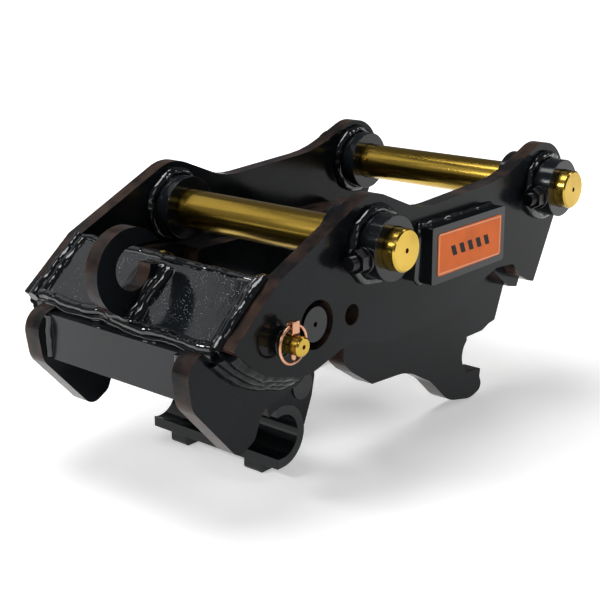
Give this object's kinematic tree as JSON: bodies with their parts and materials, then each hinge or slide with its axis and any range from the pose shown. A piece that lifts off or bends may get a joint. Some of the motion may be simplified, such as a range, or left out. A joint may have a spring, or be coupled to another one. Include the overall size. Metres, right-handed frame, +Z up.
{
  "type": "quick coupler",
  "caption": "Excavator quick coupler: welded side frame with two machine pins, rear pin hooks, a hydraulic front jaw, a lifting eye and a safety pin.",
  "frame": {"origin": "on the front machine pin's axis, midway between the side plates", "axes": "+X towards the rear hooks, +Y to the left along the machine pins, +Z up towards the machine"},
  "size_m": [0.702, 0.436, 0.3486],
  "materials": {
    "black_paint": "thick gloss black enamel over mill steel",
    "gold_zinc": "polished yellow zinc plating",
    "copper_plate": "satin copper plating on spring steel",
    "painted_fastener": "black painted fasteners, slightly worn",
    "steel": "machined steel, oiled",
    "hard_chrome": "hard chrome plating",
    "bronze": "plain bronze",
    "seal_rubber": "black rubber",
    "decal": "orange vinyl with a thin border line"
  },
  "bodies": {
    "frame": {"side_plate_left": "black_paint", "side_plate_right": "black_paint", "packer_plate_left": "black_paint", "packer_plate_right": "black_paint", "ear_plate_left": "black_paint", "ear_plate_right": "black_paint", "hook_plate_left": "black_paint", "hook_plate_right": "black_paint", "deck_plate": "black_paint", "front_plate": "black_paint", "mid_plate": "black_paint", "rear_plate": "black_paint", "cylinder_bracket_left": "black_paint", "cylinder_bracket_right": "black_paint", "lifting_eye": "black_paint", "front_outer_collars": "black_paint", "rear_outer_collars": "black_paint", "front_inner_collars": "black_paint", "rear_inner_collars": "black_paint", "front_pin": "gold_zinc", "rear_pin": "gold_zinc", "pin_bolts": "painted_fastener", "pin_nuts": "painted_fastener", "pin_washers": "painted_fastener", "label_plate": "black_paint", "label_decal": "decal", "pivot_pin": "black_paint", "cylinder_barrel": "black_paint", "cylinder_gland": "steel", "rod_wiper": "seal_rubber", "barrel_eye": "black_paint", "barrel_pin": "steel", "port_plugs": "steel", "safety_bosses": "black_paint"},
    "jaw": {"jaw_hub": "black_paint", "jaw_bushes": "bronze", "jaw_cheek_left": "black_paint", "jaw_cheek_right": "black_paint", "jaw_claw": "black_paint", "jaw_feet": "black_paint", "jaw_web": "black_paint", "jaw_rod_pin": "black_paint", "rod_spacers": "black_paint"},
    "rod": {"rod_eye": "black_paint", "piston_rod": "hard_chrome", "piston": "hard_chrome"},
    "safety": {"safety_pin": "gold_zinc"},
    "lynch": {"lynch_pin": "copper_plate"},
    "ring": {"lynch_ring": "copper_plate"}
  },
  "joints": [
    {"name": "jaw_swing", "type": "hinge", "parent": "frame", "child": "jaw", "pos_m": [-0.098, 0, -0.072], "axis": [0, 1, 0], "range_deg": [-20, 22]},
    {"name": "rod_stroke", "type": "slide", "parent": "frame", "child": "rod", "axis": [-0.891, 0, -0.454], "range_m": [-0.0385, 0.0425]},
    {"name": "safety_pin_float", "type": "slide", "parent": "frame", "child": "safety", "axis": [0, 1, 0], "range_m": [0, 0.0045]},
    {"name": "lynch_pin_lift", "type": "slide", "parent": "safety", "child": "lynch", "axis": [0, 0, 1], "range_m": [0, 0.008]},
    {"name": "lynch_ring_flip", "type": "hinge", "parent": "lynch", "child": "ring", "pos_m": [-0.156, -0.186, -0.055], "axis": [-1, 0, 0], "range_deg": [0, 150]}
  ],
  "couplings": [
    {"joint": "rod_stroke", "follows": "jaw_swing", "m_per_rad": 0.1092}
  ]
}
